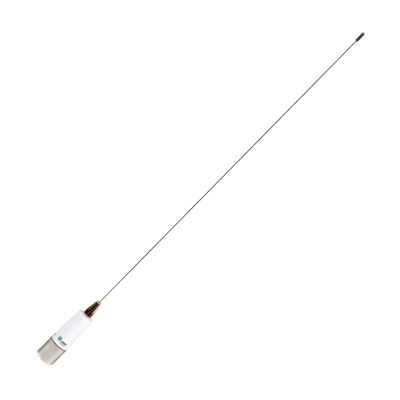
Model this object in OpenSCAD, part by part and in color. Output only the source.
// Omnidirectional whip antenna for a boat's VHF radio.
// A stainless base screws onto a standard mast mount and holds the coaxial socket. A tapered
// plastic housing on top of it holds the matching coil. A ferrule screws onto the housing's
// stud and clamps the long steel whip. Millimetres, +Z up along the whip, origin at the centre
// of the base's bottom face.

/* [Overall] */
// Height of the whole antenna, from the bottom face to the end of the tip cap
overall_h = 900; // [300:5:1600]
// Outside diameter of the base, which the trim ring and the housing follow
base_d = 40; // [33:0.5:60]

/* [Base cup] */
// Major diameter of the mast mount's thread
mast_thread_d = 25.4; // [22:0.1:27]
// Pitch of the mast mount's thread
mast_thread_pitch = 1.814; // [1:0.001:2.5]
// Depth of the mast thread from the bottom face
mast_thread_depth = 22; // [14:0.5:40]
// Chamfer at the mouth of the mast thread
mouth_chamfer = 0.8; // [0.2:0.1:1.5]
// Gap around the socket's flange in the room for the cable's plug
plug_room_gap = 0.75; // [0.3:0.05:2]
// Height of the room for the cable's plug
plug_room_h = 16; // [12:0.5:30]
// Thickness of the web that carries the coaxial socket
web_t = 4; // [2:0.5:6]
// Radius of the cup's bottom outer edge, where the seat leaves room for it
cup_edge_r = 5.5; // [0.5:0.5:8]
// Least width of the flat seat around the mast thread's mouth
seat_w = 1.5; // [1:0.25:3]
// Height of the neck above the trim ring, which the housing fits over
neck_h = 14; // [12:0.5:24]
// Wall of the neck
neck_wall = 3; // [2.5:0.1:4]

/* [Trim ring and seals] */
// Height of the polished ring between the cup and the housing
ring_h = 2.5; // [1:0.25:5]
// Chamfer on the ring's outer edges
ring_chamfer = 0.3; // [0.1:0.05:0.45]
// Thickness of the O-ring around the neck
neck_seal_t = 1.8; // [1:0.1:2.2]
// Height of the neck's O-ring above the trim ring
neck_seal_rise = 4; // [2.5:0.25:6]
// Thickness of the O-ring under the ferrule
ferrule_seal_t = 1.5; // [0.8:0.1:1.8]

/* [Coil housing] */
// Height of the housing
housing_h = 76.5; // [62:0.5:140]
// Diameter of the housing at its top, before its edge is rounded
housing_top_d = 34; // [28:0.5:38]
// Wall of the housing
housing_wall = 2.2; // [1.6:0.1:3]
// Thickness of the housing's roof
roof_t = 5; // [4:0.5:9]
// Radius of the housing's top edge
housing_edge_r = 2.5; // [0.5:0.25:4]
// How far the housing's foot stands in from the trim ring
foot_inset = 0.2; // [0:0.05:0.6]
// Least width of the step inside the housing that holds the coil former down
step_w = 0.5; // [0.3:0.1:1.5]

/* [Housing screws] */
// Thread diameter of the housing screws
screw_d = 2.5; // [2:0.1:3]
// Head diameter of the housing screws
screw_head_d = 4.4; // [4:0.1:5.2]
// Length of the housing screws
screw_len = 5; // [4:0.25:8]
// Height of the screws above the housing's foot
screw_rise = 8; // [8:0.25:11]
// Direction of the first screw, counted from +X
screw_turn = 202; // [0:1:360]

/* [Coaxial socket] */
// Outside thread diameter of the socket
socket_d = 15.88; // [13:0.01:19.5]
// Length of the socket in front of its flange
socket_len = 11; // [8:0.5:11]
// How far the socket's flange stands out from its thread
flange_rim = 2.3; // [1.5:0.1:3]
// Thickness of the socket's flange
flange_t = 2; // [1:0.25:3]
// Thickness of the gasket between flange and web
gasket_t = 0.8; // [0.5:0.1:1.5]
// Length of the socket's thread above the web
socket_rear_len = 7; // [6.5:0.25:12]
// Wall of the socket's nut at its flats
socket_nut_wall = 1.55; // [1.2:0.05:2.5]
// Height of the socket's nut
socket_nut_h = 4; // [2:0.25:5]
// Bore of the socket's shell, which its insulator fills
shell_bore_d = 11.8; // [10:0.1:12.8]
// How far the insulator's face is set back in the shell
face_depth = 4; // [1:0.5:6]
// Outside diameter of the centre contact
contact_d = 5.6; // [5:0.1:6.5]
// Bore of the centre contact, for the plug's pin
contact_bore_d = 4; // [3:0.1:4.2]

/* [Washers and tags] */
// Thickness of the plain and lock washers
washer_t = 0.8; // [0.5:0.1:1.2]
// Thickness of the solder tags
tag_t = 0.5; // [0.3:0.1:0.8]
// Width of a solder tag's ear
tag_ear_w = 4; // [3:0.25:6]

/* [Matching coil] */
// Outside diameter of the coil former
former_d = 13; // [10:0.5:14]
// Bore of the coil former
former_bore_d = 8; // [5:0.5:9]
// Thickness of the former's flanges
former_flange_t = 2.5; // [1.5:0.25:4]
// Diameter of the coil's wire
coil_wire_d = 1.6; // [1:0.1:2]
// Number of turns in the coil
coil_turns = 9; // [5:1:11]
// Gap between the former's top and the stud's lower end
former_gap = 3; // [1:0.5:8]
// Turn at which the tap lead joins, counted from the bottom
tap_turn = 2; // [1:1:4]
// Diameter of the tap lead
tap_wire_d = 1.2; // [0.8:0.1:1.5]
// Room below the first turn and above the last, inside the former's flanges
coil_margin = 3; // [2:0.5:8]

/* [Whip stud] */
// Thread diameter of the stud
stud_d = 8; // [6:0.5:10]
// Length of the stud above the housing
stud_top_len = 11; // [8:0.5:13]
// Length of the stud below the housing's roof
stud_low_len = 8; // [6.5:0.5:12]
// How far the stud's collar stands out from its thread
collar_rim = 1.2; // [0.8:0.1:1.5]
// Thickness of the stud's collar
collar_t = 2.5; // [1.5:0.25:3]
// Wall of the stud's nut at its flats
stud_nut_wall = 2.5; // [1.5:0.1:3.5]
// Height of the stud's nut
stud_nut_h = 4; // [2.5:0.25:5]

/* [Whip ferrule] */
// Height of the ferrule
ferrule_h = 37; // [30.5:0.5:60]
// Diameter of the ferrule's straight part
ferrule_d = 17.5; // [14.5:0.25:24]
// Height of the ferrule's straight part
ferrule_straight_h = 13; // [4:0.5:20]
// Diameter of the ferrule's top
ferrule_top_d = 11; // [10:0.25:16]
// Radius of the ferrule's top edge
ferrule_edge_r = 0.6; // [0.2:0.1:1]
// Room above the stud's end in the ferrule's thread
stud_end_gap = 1.5; // [0.5:0.25:3]
// Solid metal between the ferrule's thread and the whip's socket
ferrule_web = 4.5; // [2:0.5:6]
// Thread diameter of the clamp screws
clamp_screw_d = 4; // [3:0.25:4]
// Length of the clamp screws
clamp_screw_len = 3.5; // [2.5:0.25:3.75]
// Distance of the upper clamp screw below the ferrule's top
clamp_screw_drop = 5.5; // [4:0.25:7]
// Height of the lower clamp screw above the floor of the whip's socket
clamp_screw_rise = 3.5; // [2.5:0.25:6]
// Width of the clamp screws' hexagon socket across its flats
clamp_key_af = 2; // [1.3:0.1:2]

/* [Whip] */
// Diameter of the whip
whip_d = 2.5; // [2:0.1:3.2]
// Diameter of the tip cap
cap_d = 6.5; // [5:0.25:10]
// Length of the tip cap
cap_h = 22; // [14:0.5:40]
// Radius of the tip cap's lower edge
cap_edge_r = 1; // [0.3:0.1:1.2]
// Depth of the whip in the tip cap
cap_grip = 16; // [8:0.5:17]

/* [Clearances] */
// Radial clearance between pieces that slide over each other
slip = 0.1; // [0.05:0.01:0.2]
// Radial clearance of threads, of the insulator's fits, and of bores that guide a moving piece
run = 0.05; // [0.02:0.01:0.1]
// Gap between a seal and the faces around it
seal_gap = 0.05; // [0.02:0.01:0.1]

/* [Hidden] */
$fn = 64;
eps = 0.01;                // how far a cut runs past a face

// A 60-degree thread's crest-to-crest depth, both sides together, is this share of its pitch
thread_depth_share = 1.0825;
hex_share = cos(30);       // half a hexagon's width, as a share of its corner radius

// Heights of the faces that pieces share, from the bottom upwards
z_room = mast_thread_depth;
z_web = z_room + plug_room_h;
z_shoulder = z_web + web_t;
z_foot = z_shoulder + ring_h;
z_neck = z_foot + neck_h;
z_step = z_neck + former_flange_t;
z_roof = z_foot + housing_h;
z_ceiling = z_roof - roof_t;
z_ferrule = z_roof + ferrule_h;
z_thread_end = z_roof + stud_top_len + stud_end_gap;
z_whip = z_thread_end + ferrule_web;
z_cap = overall_h - cap_h;

// The stack on the socket's rear thread, above the web
z_socket_washer = z_shoulder + tag_t;
z_socket_nut = z_socket_washer + washer_t;
z_flange = z_web - gasket_t - flange_t;
z_socket_mouth = z_flange - socket_len;
z_socket_rear = z_shoulder + socket_rear_len;

// The stack on the stud, below the roof
z_stud_tag = z_ceiling - washer_t - tag_t;
z_stud_nut = z_stud_tag - stud_nut_h;
z_stud_low = z_ceiling - stud_low_len;

// Widths that follow from the threads they belong to
flange_d = socket_d + 2 * flange_rim;
plug_room_d = flange_d + 2 * plug_room_gap;
socket_nut_af = socket_d + 2 * socket_nut_wall;
stud_nut_af = stud_d + 2 * stud_nut_wall;
collar_d = stud_d + 2 * collar_rim;

// Radii that follow from the base's diameter
base_r = base_d / 2;
foot_r = base_r - foot_inset;
neck_bore_r = foot_r - housing_wall;         // the housing's bore over the neck
neck_r = neck_bore_r - slip;
neck_room_r = neck_r - neck_wall;
mast_bore_r = (mast_thread_d - thread_depth_share * mast_thread_pitch) / 2;
cup_fillet_r = min(cup_edge_r, base_r - mast_bore_r - mouth_chamfer - seat_w);

// The housing's side leans in by this much for each millimetre of height
housing_lean = (foot_r - housing_top_d / 2) / housing_h;
function housing_r(z) = foot_r - (z - z_foot) * housing_lean;

// Housing screws
screw_sink = 0.15;         // how far the head sits below the housing's surface
screw_head_h = (screw_head_d - screw_d) / 2;
screw_tip_gap = 1;         // from the screw's end to the end of its hole
screw_hole_len = screw_len + screw_tip_gap;

// Coil
z_coil = z_step + coil_margin;
z_former_top = z_stud_low - former_gap;
z_former = z_former_top - former_flange_t;
z_coil_end = z_former - coil_margin;
coil_pitch = (z_coil_end - z_coil) / coil_turns;
coil_steps = 20;           // rings in one turn of the wire
coil_sides = 8;            // sides of the wire's section
// The wire's chords clear the former
coil_r = ((former_d + coil_wire_d) / 2 + slip) / cos(180 / coil_steps);
tap_part = 0.75;           // share of a turn at which the tap lead joins, which faces -Y
z_tap = z_coil + (tap_turn + tap_part) * coil_pitch;
ground_x = (socket_nut_af / 2 + neck_room_r) / 2;  // where the coil's lower end meets the ground tag
tag_reach = 2.5;           // from the stud's nut to the wire on its tag
stud_x = stud_nut_af / 2 + tag_reach;              // where the coil's upper end meets the stud's tag
tag_gap = 0.4;             // from the ground tag's ear to the neck's wall
lead_gap = 0.4;            // round the wire, in the former's holes
lead_hole_r = coil_wire_d / 2 + lead_gap;
lead_bend = 1;             // from a flange of the former to the wire's bend beyond it

// Contact
contact_face = 1;          // how far the contact stands out of the insulator
solder_cup_len = 3;
solder_cup_d = 3.2;
insulator_rear_len = 1.5;
insulator_rear_d = 9;

// Ferrule
seal_r = (collar_d / 2 + slip + ferrule_d / 2) / 2;  // midway between the stud's collar and the rim
clamp_heights = [z_ferrule - clamp_screw_drop, z_whip + clamp_screw_rise];
clamp_tip_r = whip_d / 2 + run;  // where a clamp screw's tip stops, at the whip
clamp_key_depth = 1.8;

// Outline of a turned solid of height h, whose side runs from radius r1 at the bottom to r2 at
// the top, with its top edge rounded to radius e. It is drawn in the XY plane, with Y upwards.
module turned_outline(r1, r2, h, e) {
    lean = atan2(r1 - r2, h);
    side_r = r1 - (h - e) * tan(lean);
    centre_r = side_r - e / cos(lean);
    polygon([
        [0, 0],
        [r1, 0],
        [centre_r + e * cos(lean), h - e + e * sin(lean)],
        [centre_r, h - e],
        [centre_r, h],
        [0, h]
    ]);
    translate([centre_r, h - e]) circle(e);
}

// A ring with an inner and an outer radius
module ring(inner_r, outer_r, h) {
    difference() {
        cylinder(r = outer_r, h = h);
        translate([0, 0, -eps]) cylinder(r = inner_r, h = h + 2 * eps);
    }
}

// An O-ring of the given thickness around Z
module o_ring(middle_r, t) {
    rotate_extrude() translate([middle_r, 0]) circle(t / 2);
}

// A hexagon nut with a flat that faces +X, chamfered on its corners
module hex_nut(af, h, bore_r) {
    corner_r = af / 2 / hex_share;
    chamfer_h = (corner_r - af / 2) * tan(30);
    difference() {
        intersection() {
            rotate(30) cylinder(r = corner_r, h = h, $fn = 6);
            rotate_extrude()
                polygon([
                    [0, 0], [af / 2, 0], [corner_r, chamfer_h],
                    [corner_r, h - chamfer_h], [af / 2, h], [0, h]
                ]);
        }
        translate([0, 0, -eps]) cylinder(r = bore_r, h = h + 2 * eps);
    }
}

// A flat ring with an ear along +X around the point ear_x, cut off at end_r from the middle
module solder_tag(inner_r, outer_r, ear_x, end_r) {
    difference() {
        intersection() {
            union() {
                cylinder(r = outer_r, h = tag_t);
                translate([0, -tag_ear_w / 2, 0]) cube([ear_x, tag_ear_w, tag_t]);
                translate([ear_x, 0, 0]) cylinder(r = tag_ear_w / 2, h = tag_t);
            }
            cylinder(r = end_r, h = tag_t);
        }
        translate([0, 0, -eps]) cylinder(r = inner_r, h = tag_t + 2 * eps);
    }
}

// A round wire that runs straight from point to point, with ball-shaped bends
module straight_wire(points, d) {
    for (i = [0 : len(points) - 2]) {
        run_v = points[i + 1] - points[i];
        level = norm([run_v[0], run_v[1]]);
        translate(points[i])
            rotate([0, atan2(level, run_v[2]), atan2(run_v[1], run_v[0])])
                cylinder(d = d, h = norm(run_v));
    }
    for (i = [1 : len(points) - 2]) translate(points[i]) sphere(d = d);
}

// Runs its children at the top of each housing screw's head, with Z pointing out of the housing
module at_screws() {
    for (half = [0, 180])
        rotate(screw_turn + half)
            translate([housing_r(z_foot + screw_rise) - screw_sink, 0, z_foot + screw_rise])
                rotate([0, 90, 0]) children();
}

// Runs its children at each clamp screw's tip, with Z pointing out of the ferrule along +Y
module at_clamp_screws() {
    for (z = clamp_heights) translate([0, clamp_tip_r, z]) rotate([-90, 0, 0]) children();
}

module base_cup() {
    groove_h = neck_seal_t + 2 * seal_gap;
    groove_r = neck_bore_r - neck_seal_t - 2 * seal_gap;
    color([0.80, 0.79, 0.76])
    difference() {
        union() {
            rotate_extrude() {
                square([base_r - cup_fillet_r, z_shoulder]);
                translate([0, cup_fillet_r]) square([base_r, z_shoulder - cup_fillet_r]);
                translate([base_r - cup_fillet_r, cup_fillet_r]) circle(cup_fillet_r);
            }
            cylinder(r = neck_r, h = z_neck);
        }
        // Mast thread at its minor diameter, with a chamfered mouth
        translate([0, 0, -eps]) cylinder(r = mast_bore_r, h = z_room + eps);
        translate([0, 0, -eps])
            cylinder(r1 = mast_bore_r + mouth_chamfer + eps, r2 = mast_bore_r, h = mouth_chamfer + eps);
        // Room for the plug, hole for the socket, and room inside the neck
        translate([0, 0, z_room - eps]) cylinder(d = plug_room_d, h = plug_room_h + eps);
        translate([0, 0, z_web - eps]) cylinder(r = socket_d / 2 + slip, h = web_t + 2 * eps);
        translate([0, 0, z_shoulder]) cylinder(r = neck_room_r, h = z_neck);
        // Groove for the neck's seal
        translate([0, 0, z_foot + neck_seal_rise - groove_h / 2])
            difference() {
                cylinder(r = neck_bore_r, h = groove_h);
                cylinder(r = groove_r, h = groove_h);
            }
        // Threaded holes for the housing screws
        at_screws() translate([0, 0, -screw_hole_len]) cylinder(r = screw_d / 2 + run, h = screw_hole_len);
    }
}

module trim_ring() {
    color([0.72, 0.66, 0.56])
    translate([0, 0, z_shoulder])
        rotate_extrude()
            polygon([
                [neck_r + run, 0],
                [base_r - ring_chamfer, 0],
                [base_r, ring_chamfer],
                [base_r, ring_h - ring_chamfer],
                [base_r - ring_chamfer, ring_h],
                [neck_r + run, ring_h]
            ]);
}

module neck_seal() {
    color([0.10, 0.10, 0.10])
    translate([0, 0, z_foot + neck_seal_rise])
        o_ring(neck_bore_r - seal_gap - neck_seal_t / 2, neck_seal_t);
}

module coil_housing() {
    color([0.95, 0.94, 0.95])
    difference() {
        translate([0, 0, z_foot])
            rotate_extrude() turned_outline(foot_r, housing_top_d / 2, housing_h, housing_edge_r);
        // Bore over the neck and the former's flange, then a room that follows the outside
        translate([0, 0, z_foot - eps]) cylinder(r = neck_bore_r, h = z_step - z_foot + eps);
        translate([0, 0, z_step - eps])
            cylinder(
                r1 = min(housing_r(z_step) - housing_wall, neck_bore_r - step_w),
                r2 = housing_r(z_ceiling) - housing_wall,
                h = z_ceiling - z_step + eps
            );
        // Hole for the stud, with a recess for its collar
        translate([0, 0, z_ceiling - eps]) cylinder(r = stud_d / 2 + slip, h = roof_t + 2 * eps);
        translate([0, 0, z_roof - collar_t]) cylinder(r = collar_d / 2 + slip, h = collar_t + eps);
        // Countersunk holes for the housing screws
        at_screws() {
            translate([0, 0, -screw_hole_len]) cylinder(r = screw_d / 2 + slip, h = screw_hole_len);
            translate([0, 0, -screw_head_h])
                cylinder(r1 = screw_d / 2 + slip, r2 = screw_head_d / 2 + slip, h = screw_head_h);
            cylinder(r = screw_head_d / 2 + slip, h = screw_head_h);
        }
    }
}

module housing_screws() {
    slot_w = 0.6;
    slot_l = screw_head_d - 2 * slot_w;
    slot_h = 0.8;
    color([0.62, 0.62, 0.64])
    at_screws()
        difference() {
            union() {
                translate([0, 0, -screw_len]) cylinder(d = screw_d, h = screw_len);
                translate([0, 0, -screw_head_h]) cylinder(d1 = screw_d, d2 = screw_head_d, h = screw_head_h);
            }
            for (turn = [0, 90])
                rotate(turn)
                    translate([-slot_l / 2, -slot_w / 2, -slot_h])
                        cube([slot_l, slot_w, slot_h + eps]);
        }
}

module socket_shell() {
    key_w = 2;             // notches in the rim, which stop the plug from turning
    key_h = 1.5;
    color([0.72, 0.70, 0.64])
    difference() {
        union() {
            translate([0, 0, z_socket_mouth]) cylinder(d = socket_d, h = z_socket_rear - z_socket_mouth);
            translate([0, 0, z_flange]) cylinder(d = flange_d, h = flange_t);
        }
        translate([0, 0, z_socket_mouth - eps])
            cylinder(d = shell_bore_d, h = z_socket_rear - z_socket_mouth + 2 * eps);
        for (turn = [0, 90])
            rotate(turn)
                translate([-socket_d, -key_w / 2, z_socket_mouth - eps])
                    cube([2 * socket_d, key_w, key_h + eps]);
    }
}

module socket_insulator() {
    color([0.93, 0.92, 0.88])
    difference() {
        union() {
            translate([0, 0, z_socket_mouth + face_depth])
                cylinder(d = shell_bore_d - 2 * run, h = z_socket_rear - z_socket_mouth - face_depth);
            translate([0, 0, z_socket_rear]) cylinder(d = insulator_rear_d, h = insulator_rear_len);
        }
        translate([0, 0, z_socket_mouth])
            cylinder(d = contact_d + 2 * run, h = z_socket_rear - z_socket_mouth + insulator_rear_len + eps);
    }
}

module centre_contact() {
    z_low = z_socket_mouth + face_depth - contact_face;
    z_high = z_socket_rear + insulator_rear_len;
    bore_len = z_shoulder - z_low;
    slit_w = 0.5;
    color([0.83, 0.68, 0.35])
    difference() {
        union() {
            translate([0, 0, z_low]) cylinder(d = contact_d, h = z_high - z_low);
            translate([0, 0, z_high]) cylinder(d = solder_cup_d, h = solder_cup_len);
        }
        translate([0, 0, z_low - eps]) cylinder(d = contact_bore_d, h = bore_len);
        for (turn = [0, 90])
            rotate(turn)
                translate([-contact_d, -slit_w / 2, z_low - eps]) cube([2 * contact_d, slit_w, bore_len / 2]);
        translate([0, 0, z_high + eps]) cylinder(r = tap_wire_d / 2 + run, h = solder_cup_len);
    }
}

module socket_gasket() {
    color([0.12, 0.12, 0.12])
    translate([0, 0, z_web - gasket_t]) ring(socket_d / 2 + run, flange_d / 2, gasket_t);
}

module ground_tag() {
    color([0.80, 0.76, 0.66])
    translate([0, 0, z_shoulder])
        solder_tag(socket_d / 2 + slip, socket_nut_af / 2, ground_x, neck_room_r - tag_gap);
}

module lock_washer() {
    gap_w = 1.2;           // the split in the spring washer
    color([0.60, 0.60, 0.60])
    translate([0, 0, z_socket_washer])
        difference() {
            ring(socket_d / 2 + slip, socket_nut_af / 2, washer_t);
            translate([-socket_d, -gap_w / 2, -eps]) cube([socket_d, gap_w, washer_t + 2 * eps]);
        }
}

module socket_nut() {
    color([0.72, 0.70, 0.64])
    translate([0, 0, z_socket_nut]) hex_nut(socket_nut_af, socket_nut_h, socket_d / 2 + run);
}

module coil_former() {
    top_flange_r = coil_r + coil_wire_d;
    color([0.90, 0.86, 0.74])
    difference() {
        union() {
            translate([0, 0, z_neck]) cylinder(r = neck_bore_r - slip, h = former_flange_t);
            translate([0, 0, z_step - eps]) cylinder(d = former_d, h = z_former - z_step + 2 * eps);
            translate([0, 0, z_former]) cylinder(r = top_flange_r, h = former_flange_t);
        }
        translate([0, 0, z_neck - eps]) cylinder(d = former_bore_d, h = z_former_top - z_neck + 2 * eps);
        // Holes for the coil's two ends and for the tap lead
        translate([ground_x, 0, z_neck - eps]) cylinder(r = lead_hole_r, h = former_flange_t + 2 * eps);
        translate([coil_r, 0, z_former - eps]) cylinder(r = lead_hole_r, h = former_flange_t + 2 * eps);
        translate([0, 0, z_tap]) rotate([90, 0, 0]) cylinder(r = tap_wire_d / 2 + slip, h = former_d);
    }
}

// The wire's route: up from the ground tag, round the former, and up to the stud's tag
coil_path = concat(
    [
        [ground_x, 0, z_shoulder + tag_t],
        [ground_x, 0, z_step + lead_bend],
        [coil_r + coil_wire_d, 0, z_coil - coil_wire_d / 2]
    ],
    [for (i = [0 : coil_turns * coil_steps])
        let (turn = i / coil_steps)
            [coil_r * cos(360 * turn), coil_r * sin(360 * turn), z_coil + turn * coil_pitch]],
    [
        [coil_r, 0, z_former_top + lead_bend],
        [stud_x, 0, z_former_top + lead_bend + stud_x - coil_r],
        [stud_x, 0, z_stud_tag]
    ]
);

function unit(v) = v / norm(v);

// Ring of points around one point of a wire's route. The ring's first axis points away from
// the coil's axis, so that the rings stay in step along the whole wire.
function wire_ring(path, i, r) =
    let (
        before = path[max(i - 1, 0)],
        after = path[min(i + 1, len(path) - 1)],
        along = unit(after - before),
        away = unit([path[i][0], path[i][1], 0]),
        side = unit(cross(along, away)),
        out = cross(side, along)
    )
    [for (k = [0 : coil_sides - 1])
        path[i] + r * (cos(360 * k / coil_sides) * out + sin(360 * k / coil_sides) * side)];

module matching_coil() {
    last = len(coil_path) - 1;
    points = [for (i = [0 : last]) each wire_ring(coil_path, i, coil_wire_d / 2)];
    sides = [
        for (i = [0 : last - 1], k = [0 : coil_sides - 1])
            let (low = i * coil_sides, next = (k + 1) % coil_sides)
                [low + k, low + next, low + coil_sides + next, low + coil_sides + k]
    ];
    start_face = [for (k = [coil_sides - 1 : -1 : 0]) k];
    end_face = [for (k = [0 : coil_sides - 1]) last * coil_sides + k];
    color([0.78, 0.46, 0.26])
    polyhedron(points, concat([start_face], sides, [end_face]), convexity = 12);
}

module tap_lead() {
    z_cup = z_socket_rear + insulator_rear_len;
    color([0.80, 0.50, 0.30])
    straight_wire(
        [[0, 0, z_cup + run], [0, 0, z_tap], [0, -coil_r, z_tap]],
        tap_wire_d
    );
}

module whip_stud() {
    color([0.83, 0.70, 0.38])
    union() {
        translate([0, 0, z_stud_low]) cylinder(d = stud_d, h = z_roof + stud_top_len - z_stud_low);
        translate([0, 0, z_roof - collar_t]) cylinder(d = collar_d, h = collar_t);
    }
}

module stud_washer() {
    washer_rim = 1.5;      // how far the washer shows beyond the nut's flats
    color([0.62, 0.62, 0.62])
    translate([0, 0, z_ceiling - washer_t])
        ring(stud_d / 2 + slip, stud_nut_af / 2 + washer_rim, washer_t);
}

module stud_tag() {
    color([0.80, 0.76, 0.66])
    translate([0, 0, z_stud_tag])
        solder_tag(stud_d / 2 + slip, stud_nut_af / 2, stud_x, stud_x + tag_ear_w / 2);
}

module stud_nut() {
    color([0.83, 0.70, 0.38])
    translate([0, 0, z_stud_nut]) hex_nut(stud_nut_af, stud_nut_h, stud_d / 2 + run);
}

module ferrule_seal() {
    color([0.10, 0.10, 0.10])
    translate([0, 0, z_roof + ferrule_seal_t / 2 + seal_gap]) o_ring(seal_r, ferrule_seal_t);
}

module whip_ferrule() {
    groove_half_w = ferrule_seal_t / 2 + seal_gap;
    foot_chamfer = 0.3;
    cone_h = ferrule_h - ferrule_straight_h;
    color([0.55, 0.50, 0.45])
    difference() {
        union() {
            translate([0, 0, z_roof])
                cylinder(d1 = ferrule_d - 2 * foot_chamfer, d2 = ferrule_d, h = foot_chamfer);
            translate([0, 0, z_roof + foot_chamfer])
                cylinder(d = ferrule_d, h = ferrule_straight_h - foot_chamfer);
            translate([0, 0, z_roof + ferrule_straight_h])
                rotate_extrude()
                    turned_outline(ferrule_d / 2, ferrule_top_d / 2, cone_h, ferrule_edge_r);
        }
        // Thread over the stud, socket for the whip, and groove for the seal
        translate([0, 0, z_roof - eps]) cylinder(r = stud_d / 2 + run, h = z_thread_end - z_roof + eps);
        translate([0, 0, z_whip]) cylinder(r = whip_d / 2 + run, h = z_ferrule - z_whip + eps);
        translate([0, 0, z_roof - eps])
            ring(seal_r - groove_half_w, seal_r + groove_half_w, ferrule_seal_t + 2 * seal_gap + eps);
        at_clamp_screws()
            translate([0, 0, -clamp_tip_r]) cylinder(r = clamp_screw_d / 2 + run, h = ferrule_d);
    }
}

module clamp_screws() {
    color([0.30, 0.30, 0.32])
    at_clamp_screws()
        difference() {
            cylinder(d = clamp_screw_d, h = clamp_screw_len);
            translate([0, 0, clamp_screw_len - clamp_key_depth])
                cylinder(r = clamp_key_af / 2 / hex_share, h = clamp_key_depth + eps, $fn = 6);
        }
}

module whip_rod() {
    color([0.66, 0.65, 0.63])
    translate([0, 0, z_whip]) cylinder(d = whip_d, h = z_cap + cap_grip - z_whip);
}

module tip_cap() {
    cap_r = cap_d / 2;
    color([0.16, 0.16, 0.17])
    translate([0, 0, z_cap])
        difference() {
            union() {
                rotate_extrude() {
                    square([cap_r - cap_edge_r, cap_h - cap_r]);
                    translate([0, cap_edge_r]) square([cap_r, cap_h - cap_r - cap_edge_r]);
                    translate([cap_r - cap_edge_r, cap_edge_r]) circle(cap_edge_r);
                }
                translate([0, 0, cap_h - cap_r]) sphere(cap_r);
            }
            translate([0, 0, -eps]) cylinder(d = whip_d, h = cap_grip + eps);
        }
}

base_cup();
trim_ring();
neck_seal();
coil_housing();
housing_screws();
socket_shell();
socket_insulator();
centre_contact();
socket_gasket();
ground_tag();
lock_washer();
socket_nut();
coil_former();
matching_coil();
tap_lead();
whip_stud();
stud_washer();
stud_tag();
stud_nut();
ferrule_seal();
whip_ferrule();
clamp_screws();
whip_rod();
tip_cap();
